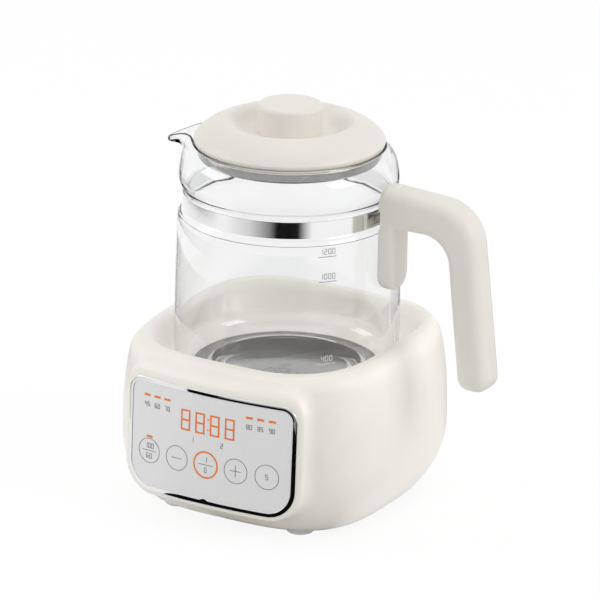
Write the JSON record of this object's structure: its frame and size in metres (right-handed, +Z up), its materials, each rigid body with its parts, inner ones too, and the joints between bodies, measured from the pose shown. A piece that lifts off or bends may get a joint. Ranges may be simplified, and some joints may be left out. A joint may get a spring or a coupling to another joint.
{
  "type": "baby formula kettle",
  "caption": "Cordless glass jug with spout, clamped handle and lift-off lid, standing on the hot plate of a deep rounded-square power base with a touch panel on its front.",
  "frame": {"origin": "on the table, under the middle of the whole kettle's bounding box", "axes": "+Z up, +X towards the handle, -X towards the spout, -Y towards the front with the control panel"},
  "size_m": [0.2196, 0.1824, 0.2362],
  "materials": {
    "shell_plastic": "warm cream, fine satin",
    "dark_plastic": "moulded grey",
    "foot_rubber": "soft pale rubber",
    "screw_steel": "zinc plated",
    "cord_rubber": "soft pale rubber",
    "plate_steel": "polished stainless steel",
    "dark_rubber": "black silicone",
    "element_aluminium": "cast",
    "shield_aluminium": "pressed sheet",
    "spring_steel": "drawn wire",
    "bezel_chrome": "polished chrome",
    "panel_plastic": "pale printed panel",
    "board_green": "coated board",
    "display_plastic": "black with lit segments",
    "lamp_plastic": "clear lamp",
    "core_iron": "laminated core",
    "part_black": "moulded black",
    "clear_glass": "clear",
    "seal_silicone": "cream silicone"
  },
  "bodies": {
    "base": {"base_housing": "shell_plastic", "bottom_cover": "dark_plastic", "rubber_feet": "foot_rubber", "cover_screws": "screw_steel", "cord_gland": "cord_rubber", "hot_plate": "plate_steel", "plate_gasket": "dark_rubber", "heating_element": "element_aluminium", "heater_terminals": "screw_steel", "heat_shield": "shield_aluminium", "shield_screws": "screw_steel", "sensor_sleeve": "dark_plastic", "sensor_spring": "spring_steel", "thermal_fuse": "screw_steel", "panel_bezel": "bezel_chrome", "touch_panel": "panel_plastic", "display_board": "board_green", "digit_display": "display_plastic", "touch_springs": "spring_steel", "indicator_lamps": "lamp_plastic", "board_screws": "screw_steel", "power_board": "board_green", "power_board_screws": "screw_steel", "transformer": "core_iron", "relay": "part_black", "filter_capacitor": "shield_aluminium", "buzzer": "part_black", "mains_terminals": "board_green"},
    "sensor": {"sensor_cap": "plate_steel"},
    "carafe": {"glass_jug": "clear_glass", "clamp_band": "plate_steel", "band_screw": "screw_steel", "handle": "shell_plastic", "handle_liner": "seal_silicone"},
    "lid": {"lid_cap": "shell_plastic", "lid_knob": "shell_plastic", "lid_seal": "seal_silicone", "lid_plate": "plate_steel", "lid_screw": "screw_steel"}
  },
  "joints": [
    {"name": "sensor_press", "type": "slide", "parent": "base", "child": "sensor", "axis": [0, 0, 1], "range_m": [-0.0012, 0], "stiffness_N_per_m": 400, "springref_m": 0.003, "deforming": ["sensor_spring"]},
    {"name": "carafe_lift", "type": "slide", "parent": "base", "child": "carafe", "axis": [0, 0, 1], "range_m": [0, 0.15]},
    {"name": "lid_lift", "type": "slide", "parent": "carafe", "child": "lid", "axis": [0, 0, 1], "range_m": [0, 0.06]}
  ]
}
